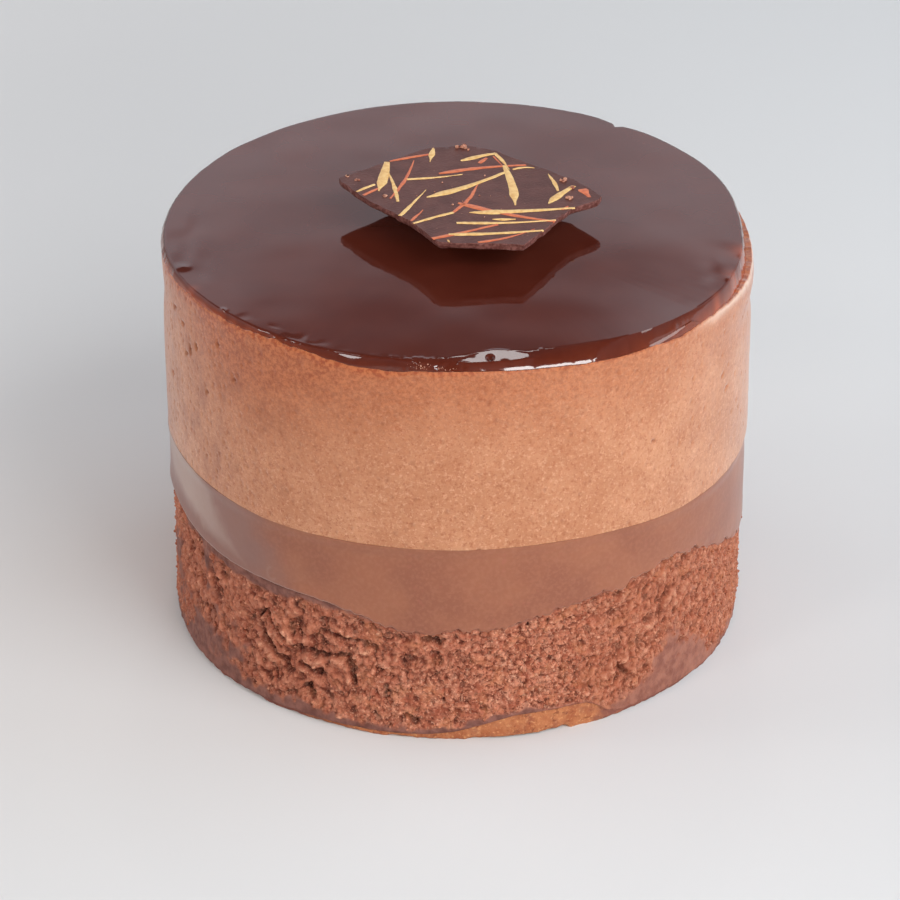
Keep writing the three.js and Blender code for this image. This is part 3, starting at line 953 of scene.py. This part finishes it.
def glaze_waves(az, radius, outer):
    """Slow swells of the pool, ripples near its rim, and small marks on it."""
    x, y = on_ring(radius, az)
    swells = .016 * noise(x + 110, y, 9, 611) + .009 * noise(x + 110, y, 5, 612)
    from_rim = np.maximum(0, outer - radius)
    u = az * MM_PER_DEGREE
    beside = ring_bump(az, 72, 14) + .7 * ring_bump(az, -80, 16)
    ripples = .028 * beside * noise(u * .5, radius, 1.7, 613) * bump(from_rim - 2, 2.5)
    dips = ring_bump(az, -35, 9) * np.maximum(0, noise(u, radius, 1.5, 614)) * bump(from_rim - .9, .8)
    grainy = ring_bump(az, -6.5, 6) * fractal(u, radius * 2, .7, 615) * bump(from_rim - .2, .6)
    rise = swells + ripples - .09 * dips + .13 * grainy
    for at, distance, size, height in RIM_BUMPS:
        bx, by = on_ring(distance, at)
        rise += height * bump(np.hypot(x - bx, y - by), size)
    bx, by = on_ring(BUBBLE[1], BUBBLE[0])
    away = np.hypot(x - bx, (y - by) * .7) / BUBBLE[2]
    return rise - BUBBLE[3] * ease(1.3 * (1 - away))


def make_glaze():
    az = turns(GLAZE_COLUMNS, at=6, width=24, extra=1.2)
    u = az * MM_PER_DEGREE
    level = 0 * u
    low = mousse_top(az) - .05
    outer = SIDES["glaze"]["radius"](az) + .04 * noise(u, level, 3.0, 601)
    outer += .02 * fractal(u, level, 1.3, 602)
    outer -= NOTCH[1] * np.maximum(0, 1 - np.abs(ring_distance(az, NOTCH[0])) / NOTCH[2])
    reach = through(RIM_REACH, az)
    pool_edge = GLAZE_TOP - pool_sink(az, outer)
    drop = np.maximum(THINNEST_RIM, pool_edge - low - .12)
    has_foot = through(RIM_FOOT, az)
    gentle = np.clip(WALL_SLOPE * reach / drop, 1.25, 6)
    steepness = mix(through(RIM_STEEPNESS, az), gentle, has_foot)
    wanted = through(FOOT_SLOPE, az)
    wanted += through(FOOT_UNEVEN, az, 1) * fractal(u, level, 1.5, 604)
    foot = has_foot * FOOT_WIDTH * np.maximum(0, wanted - drop * steepness / reach)
    falls = np.linspace(1, 0, RIM_ROWS)[:, None] ** .8
    rim = outer - reach
    shares = np.concatenate([np.linspace(0, .14, 28)[1:], np.linspace(.14, .985, 37)[1:]])
    radius = np.concatenate([
        [outer - 1.2, outer - .1], outer - reach * (1 - falls), rim * (1 - shares[:, None])])
    fall = np.zeros(radius.shape)
    fall[2:2 + RIM_ROWS] = falls ** steepness
    turn = az[None, :].repeat(len(radius), 0)
    z = GLAZE_TOP - pool_sink(turn, radius) - (drop - foot) * fall
    z = with_facets(turn, radius, z, outer - radius, pool_edge - drop + foot)
    z -= foot * np.maximum(0, 1 - (outer - radius) / FOOT_WIDTH)
    z += glaze_waves(turn, radius, outer) * ease((z - low) / .5)
    z[1] = np.minimum(low, z[2] - .1)
    z[0] = z[1] + .3
    z = np.minimum(z, GLAZE_TOP + .05)
    thin = fall * through(RIM_THIN, az) * (.85 + .3 * fractal(u, radius, 1.2, 605))
    x, y = on_ring(radius, turn)
    for at, distance, size, strength in THIN_SPOTS:
        sx, sy = on_ring(distance, at)
        thin += strength * bump(np.hypot(x - sx, y - sy), size)
    thin[:2] = thin[2]
    piece = ring_solid(
        "glaze_pool", x, y, z, (0, 0, 49.3), (0, 0, z[-1].mean()), {"thin": np.clip(thin, 0, 1)},
        sharp=60)
    finish_piece(piece, glaze_material(), "glaze")


# Plaque and what holds it

FACE_SINK = .015
# Share of the thickness and inset of each row of the broken edge
EDGE_ROWS = [
    (0, .34), (.06, .24), (.25, .16), (.45, .08), (.65, .08), (.85, .02), (.96, .03), (1, .07),
]


def on_plane(plane, x, y):
    return plane[0] + plane[1] * x + plane[2] * y


def plane_through(points):
    """The plane z = a + b x + c y that lies closest to some points."""
    sides = np.column_stack([np.ones(len(points)), points[:, :2]])
    return np.linalg.lstsq(sides, points[:, 2], rcond=None)[0]


def plaque_faces():
    """The planes of the plaque's two faces, its outline in order, and its middle."""
    points = vertices_of("plaque")
    middle = points.mean(0)[:2]
    above = points[:, 2] > on_plane(plane_through(points), *points[:, :2].T)
    outline = np.unique(np.round(points[above][:, :2], 3), axis=0)
    out = outline - middle
    order = np.argsort(np.arctan2(out[:, 1], out[:, 0]))
    return plane_through(points[above]), plane_through(points[~above]), outline[order], middle


TOP_PLANE, UNDER_PLANE, OUTLINE, PLAQUE_MIDDLE = plaque_faces()


def chocolate_material():
    mat, tree, shader = new_material("dark_chocolate", roughness=.42, specular=.3)
    dull = layered(rgb(82, 42, 35), [
        (grain(tree, 2.2, 4), .3, .7, 0, 1, rgb(98, 56, 48)),
        (grain(tree, .4, 4), .56, .75, 0, .4, rgb(122, 78, 70)),
        (dots(tree, 1.1), .05, .1, .7, 0, rgb(156, 104, 88)),
    ])
    crust = layered(rgb(94, 52, 46), [(grain(tree, .4), .38, .64, 0, 1, rgb(132, 86, 78))])
    colour_from(shader, dull, broken=crust)
    relief(shader, .3, 4, .05)
    return mat


def make_plaque():
    closed = np.vstack([OUTLINE, OUTLINE[:1]])
    steps = np.hypot(*np.diff(closed, axis=0).T)
    length = np.concatenate([[0], np.cumsum(steps)])
    count, inner = 560, 22
    along = np.linspace(0, length[-1], count, endpoint=False)
    edge = np.column_stack([np.interp(along, length, closed[:, k]) for k in (0, 1)])
    out = edge - PLAQUE_MIDDLE
    out /= np.hypot(*out.T)[:, None]
    u = along / length[-1] * SIDE_LENGTH
    rows, heights, broken = [], [], []
    for share, inset in EDGE_ROWS:
        rough = .08 * fractal(u, share * 9 + 0 * u, 4.5, 701, 4) - inset
        ring = edge + out * rough[:, None]
        rows.append(ring)
        heights.append(mix(on_plane(UNDER_PLANE, *ring.T), on_plane(TOP_PLANE, *ring.T), share))
        broken.append(np.full(count, float(share < 1)))
    rim = rows[-1]
    for step in range(1, inner):
        ring = mix(rim, PLAQUE_MIDDLE, step / inner)
        rows.append(ring)
        heights.append(on_plane(TOP_PLANE, *ring.T) - FACE_SINK)
        broken.append(np.zeros(count))
    x, y = np.array(rows).transpose(2, 0, 1)
    cx, cy = PLAQUE_MIDDLE
    piece = ring_solid(
        "plaque_shard", x, y, np.array(heights), (cx, cy, on_plane(UNDER_PLANE, cx, cy)),
        (cx, cy, on_plane(TOP_PLANE, cx, cy) - FACE_SINK), {"broken": np.array(broken)}, sharp=35)
    finish_piece(piece, chocolate_material(), "plaque")


# Crumbs on the plaque: place, how far they scatter and how many
PLAQUE_CRUMBS = [
    (-12.9, 4.1, .3, 2), (-12.2, 3, .35, 4), (.9, 12.7, .7, 9), (12.6, 4.2, .4, 6),
    (13.1, -.8, .4, 8), (-8.4, -1.6, .4, 5), (13.6, 2.4, .3, 3), (2, -1, 6, 14),
]
PLAQUE_CRUMB_SEED = 61


def pale_crumb_material():
    mat, tree, shader = new_material("pale_crumb", roughness=.7, specular=.3)
    colour_from(shader, layered(rgb(216, 160, 132), [
        (grain(tree, .5, 2), .35, .65, 0, 1, rgb(150, 90, 72))]))
    return mat


def make_plaque_crumbs(material):
    random = np.random.default_rng(PLAQUE_CRUMB_SEED)
    centres, sizes = [], []
    for x, y, scatter, count in PLAQUE_CRUMBS:
        for _ in range(count):
            px, py = random.normal((x, y), scatter / 2)
            size = random.uniform(.12, .3) * (.4 if scatter > 1 else 1)
            centres.append((px, py, on_plane(TOP_PLANE, px, py) + .3 * size))
            sizes.append(size)
    piece = lumps("plaque_crumbs", np.array(centres), np.array(sizes), PLAQUE_CRUMB_SEED + 1)
    finish_piece(piece, material)


# Grains caught in the foot of the rim: azimuth, how far they scatter in degrees and how many
RIM_GRAINS = [(-6.5, 4.2, 130), (-34, 10, 22), (10, 14, 16), (-60, 9, 14)]
RIM_GRAIN_SIZE = (.03, .13)
RIM_GRAIN_SEED = 63


def make_rim_grains(material):
    random = np.random.default_rng(RIM_GRAIN_SEED)
    az = np.concatenate([random.normal(at, scatter, count) for at, scatter, count in RIM_GRAINS])
    size = mix(*RIM_GRAIN_SIZE, random.random(len(az)) ** 2.5)
    z = mousse_top(az) + random.normal(.1, .4, len(az)) * ring_bump(az, -7, 7)
    x, y = on_ring(SIDES["glaze"]["radius"](az) - .1 - .5 * size, az)
    piece = lumps("rim_grains", np.column_stack([x, y, z]), size, RIM_GRAIN_SEED + 1)
    finish_piece(piece, material)


# Streaks of cocoa butter: start, end, width at the start, greatest width, width at the end,
# where along it is widest, and how far it bows to its left, in mm on the plaque
GOLD_STREAKS = [
    (-2.9, 12.5, -3.3, 8.5, .25, .95, .1, .5, 0),
    (-8.4, 8.1, -9.3, -.1, .75, 1.45, .2, .7, .1),
    (-8.2, 5.1, -7, -2.9, .1, .6, .4, .7, .15),
    (-11.9, -.5, -9.8, 1.7, .35, .45, .4, .5, .05),
    (-6, 3.4, .6, 5.2, .4, .5, .08, .3, -.2),
    (-3.6, -1.5, 5.8, 6.3, .1, 1.35, .45, .22, -.45),
    (.4, 9.1, 4.6, 11.5, .25, .95, .6, .35, .15),
    (4.5, 11.5, 6.2, 7, .5, .6, .15, .4, .1),
    (5.6, 8, 6.8, -3, .6, 1.25, .1, .75, .3),
    (10.8, 6, 11.9, 1.3, .1, .6, .35, .6, .15),
    (10.7, -2.3, 13.8, 2.8, .15, 1.15, .65, .35, .15),
    (6.6, 7, 9.2, 7.6, .3, .5, .1, .4, .35),
    (1.4, -5.4, 13.8, -3.3, .1, 1.35, .4, .25, -.2),
    (-.1, -8.3, 11.5, -6.8, .5, .65, .25, .35, -.35),
    (4.1, -7.1, 6.8, -6.9, .1, .7, .1, .5, 0),
    (-1, -11.5, 10, -9.7, .35, .85, .4, .2, -.25),
    (-5.1, -8.8, -.5, -5.5, .4, .5, .45, .5, .1),
    (-6.7, -6.8, -3.7, .5, .55, .6, .1, .1, 0),
    (-1.1, -13, -.9, -13.6, .2, .3, .15, .5, 0),
]
ORANGE_STREAKS = [
    (-8.1, 8.4, -3.4, 10.7, .3, .75, .5, .5, .1),
    (-5.2, 8.8, -7.9, -2.1, .15, .5, .35, .6, .35),
    (-11.1, -1.4, -9.4, .6, .4, .5, .4, .5, 0),
    (-2.2, 5.3, 8.2, 8.4, .4, 1, .5, .25, .45),
    (2.6, 8.6, 3.5, 10.1, .5, .7, .4, .5, 0),
    (4.3, 10.7, 5.3, 8.2, .2, .3, .15, .5, 0),
    (2.4, 2.5, -.5, -5.5, .1, .6, .5, .6, .4),
    (.1, -2.8, 11.4, -7.2, .5, 1.2, .5, .2, -.45),
    (-2.9, -12.7, 4.7, -8.4, .75, .8, .45, .2, -.1),
    (2.4, -13.4, 9, -9.4, .5, .7, .12, .15, -.45),
    (-5.4, -8.1, -4, -5, .4, .45, .1, .3, 0),
    (14.8, 2, 15.6, -.2, 1.3, 1.5, .4, .2, 0),
    (13, -2.9, 12.3, -3.9, .3, .4, .3, .5, 0),
]
STREAK_SINK = .03
STREAK_STEPS = 24
ORANGE_LIFT, GOLD_LIFT = .035, .055


def streak_material(name, light, dark):
    mat, tree, shader = new_material(name, roughness=.4, specular=.4)
    colour_from(shader, layered(light, [(grain(tree, .6), .35, .7, 0, 1, dark)]))
    relief(shader, .2, 3, .015)
    return mat


def streak_edges(x0, y0, x1, y1, start_width, width, end_width, widest, bow, seed):
    """Left and right edges of a brush mark, as matching lists of points."""
    start, along = np.array([x0, y0]), np.array([x1 - x0, y1 - y0])
    left = np.array([-along[1], along[0]]) / np.hypot(*along)
    t = np.linspace(0, 1, STREAK_STEPS)
    head = mix(start_width, width, np.sin(math.pi / 2 * np.minimum(1, t / widest)))
    tail = mix(end_width, width, np.minimum(1, (1 - t) / (1 - widest)) ** 1.4)
    half = np.where(t < widest, head, tail) / 2
    far = t * np.hypot(*along)
    wander = [.05 * fractal(far, seed + side + 0 * far, 1.1, 801) for side in (0, .5)]
    middle = start + along * t[:, None] + left * (bow * np.sin(math.pi * t))[:, None]
    left_half, right_half = (np.maximum(.02, half + side)[:, None] for side in wander)
    return middle + left * left_half, middle - left * right_half


def make_streaks(name, streaks, lift, material):
    """Thin raised slivers: the edges lie in the plaque's face and the crest stands over it."""
    points, faces = [], []
    for index, streak in enumerate(streaks):
        left, right = streak_edges(*streak, seed=index)
        base = len(points)
        # Share from the left edge to the right edge, and height over the face, of each line
        section = ((0, -STREAK_SINK), (.15, lift), (.85, lift), (1, -STREAK_SINK))
        for share, height in section:
            line = mix(left, right, share)
            z = on_plane(TOP_PLANE, *line.T) - FACE_SINK + height
            points.extend(np.column_stack([line, z]).tolist())
        sides = len(section)
        for k in range(STREAK_STEPS - 1):
            for strip in range(sides):
                a = base + strip * STREAK_STEPS + k
                b = base + (strip + 1) % sides * STREAK_STEPS + k
                faces.append((a, b, b + 1, a + 1))
        ends = [base + strip * STREAK_STEPS for strip in range(sides)]
        faces.append(tuple(reversed(ends)))
        faces.append(tuple(end + STREAK_STEPS - 1 for end in ends))
    finish_piece(new_mesh(name, np.array(points), faces, sharp=40), material)


def ganache_material():
    mat, tree, shader = new_material("ganache", roughness=.35, specular=.5)
    colour_from(shader, blend(grain(tree, 2, 2), rgb(52, 24, 16), rgb(68, 34, 24)))
    relief(shader, .4, 3, .03)
    return mat


def make_dot():
    low, high = (np.array(corner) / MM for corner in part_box("plaque_dot"))
    cx, cy = (low + high)[:2] / 2
    bottom, top = GLAZE_TOP - .1, on_plane(UNDER_PLANE, cx, cy) + .05
    up = np.linspace(0, 1, 24)[:, None]
    az = np.linspace(-180, 180, 96, endpoint=False)[None, :].repeat(len(up), 0)
    swell = .88 + .1 * np.sin(math.pi * up) - .16 * up * up
    wobble = .03 * noise(az * MM_PER_DEGREE, up * 8 + 0 * az, 12, 901)
    x, y = on_ring((high - low)[0] / 2 * (swell + wobble), az)
    piece = ring_solid(
        "ganache_dot", x + cx, y + cy, mix(bottom, top, up) + 0 * x, (cx, cy, bottom),
        (cx, cy, top), sharp=60)
    finish_piece(piece, ganache_material(), "plaque_dot")


# Camera, floor and light

CAMERA_DISTANCE = 560
CAMERA_ELEVATION = 28.7545
CAMERA_LOOK_HEIGHT = 24
# The direction that the camera looks back along, in degrees
AIM_AZIMUTH = .102
AIM_ELEVATION = 29.1283
FOCAL_PIXELS = 4618
FRAME_PIXELS = 900
SENSOR_WIDTH = 36
CLIP_METRES = (.01, 20)
FLOOR_HALF = 3.0
# Softboxes: name, azimuth, elevation, distance, width and height in metres, power in watts,
# whether the glaze mirrors it, and colour
WHITE = (1, 1, 1)
LIGHTS = [
    ("key", 44, 42, .7, .5, .3, 2.6, False, (.92, .97, 1.02)),
    ("front", 6, 17, 1.1, .9, .4, 3.1, False, WHITE),
    ("fill", -35, 40, .9, .4, .4, .3, False, WHITE),
    ("left_side", -108, 22, .6, .5, .5, 1.15, False, WHITE),
    ("right_side", 108, 22, .6, .5, .5, 1.35, False, (.74, 1.0, 1.22)),
    ("strip", 27, 21, .7, .6, .05, 1.7, True, WHITE),
    ("right_streak", 79, 15, .7, .2, .1, .3, True, WHITE),
    ("left_line", -82, 35, .7, .16, .06, .35, True, WHITE),
    ("left_arc", -44, 42, .7, .1, .1, .3, True, WHITE),
    ("back_centre", 177.5, 50, .8, .09, .12, .2, True, WHITE),
]
LIGHT_AIM = Vector((0, 0, .03))


def heading(az, elevation):
    """The direction from the cake towards an azimuth and an elevation in degrees."""
    a, e = math.radians(az), math.radians(elevation)
    return Vector((math.sin(a) * math.cos(e), -math.cos(a) * math.cos(e), math.sin(e)))


def stand(thing, location, towards):
    """Puts a camera or a light at a place in metres, looking back along a direction."""
    thing.location = location
    thing.rotation_euler = (-towards).to_track_quat("-Z", "Y").to_euler()
    show(thing)


def make_camera():
    data = bpy.data.cameras.new("camera")
    data.sensor_width = SENSOR_WIDTH
    data.lens = FOCAL_PIXELS / FRAME_PIXELS * SENSOR_WIDTH
    data.clip_start, data.clip_end = CLIP_METRES
    camera = bpy.data.objects.new("camera", data)
    location = Vector((0, 0, CAMERA_LOOK_HEIGHT)) + heading(0, CAMERA_ELEVATION) * CAMERA_DISTANCE
    stand(camera, location * MM, heading(AIM_AZIMUTH, AIM_ELEVATION))
    bpy.context.scene.camera = camera


def make_floor():
    mesh = bpy.data.meshes.new("floor")
    corners = [(x * FLOOR_HALF, y * FLOOR_HALF, 0) for x, y in ((-1, -1), (1, -1), (1, 1), (-1, 1))]
    mesh.from_pydata(corners, [], [(0, 1, 2, 3)])
    mat, _, _ = new_material("floor_matt", .9, .1, rgb(222, 220, 217))
    mesh.materials.append(mat)
    floor = show(bpy.data.objects.new("floor", mesh))


def make_world():
    """A studio that is bright near the horizon, darker overhead, and brighter at the back."""
    world = bpy.data.worlds.new("studio")
    world.use_nodes = True
    tree = world.node_tree
    background = next(n for n in tree.nodes if n.type == "BACKGROUND")
    direction = add(tree, "ShaderNodeTexCoord").outputs["Generated"]
    axes = add(tree, "ShaderNodeSeparateXYZ", Vector=direction).outputs
    aside = add(tree, "ShaderNodeMath", {"operation": "ABSOLUTE"})
    put(aside.inputs[0], axes["X"])
    lowered = add(tree, "ShaderNodeMath", {"operation": "SUBTRACT"})
    put(lowered.inputs[0], axes["Z"])
    put(lowered.inputs[1], spread(aside.outputs[0], .02, .14, 0, .08))
    sky = ramp(lowered.outputs[0], [
        (0, (.62, .6, .62)), (.3, (.98, .97, 1.06)), (.415, (1.06, 1.02, 1.1)),
        (.455, (.72, .64, .69)), (.48, (.33, .26, .28)), (.505, (.16, .12, .125)),
        (.54, (.12, .105, .11)), (1, (.12, .11, .12))])
    feed(background, Color=sky, Strength=spread(axes["Y"], -.5, .5, .25, 1.0))
    bpy.context.scene.world = world


def make_lights():
    """Softboxes that face the cake, mirrored in the glaze or hidden from it."""
    for name, az, elevation, distance, width, height, power, mirrored, colour in LIGHTS:
        data = bpy.data.lights.new(name, "AREA")
        data.shape = "RECTANGLE"
        data.size, data.size_y = width, height
        data.energy = power
        data.color = colour
        light = bpy.data.objects.new(name, data)
        light.visible_glossy = mirrored
        towards = heading(az, elevation)
        stand(light, LIGHT_AIM + towards * distance, towards)


make_camera()
make_biscuit()
sponge_skin = sponge_material()
make_sponge(sponge_skin)
make_crumbs(sponge_skin)
make_cream()
make_mousse()
make_glaze()
make_plaque()
pale_crumb = pale_crumb_material()
make_plaque_crumbs(pale_crumb)
make_rim_grains(pale_crumb)
make_streaks("streaks_orange", ORANGE_STREAKS, ORANGE_LIFT, streak_material(
    "orange_cocoa_butter", rgb(222, 122, 78), rgb(202, 100, 64)))
make_streaks("streaks_gold", GOLD_STREAKS, GOLD_LIFT, streak_material(
    "gold_cocoa_butter", rgb(244, 202, 132), rgb(228, 174, 102)))
make_dot()
make_floor()
make_world()
make_lights()

scene = bpy.context.scene
scene.view_settings.view_transform = "Standard"
scene.view_settings.look = "None"
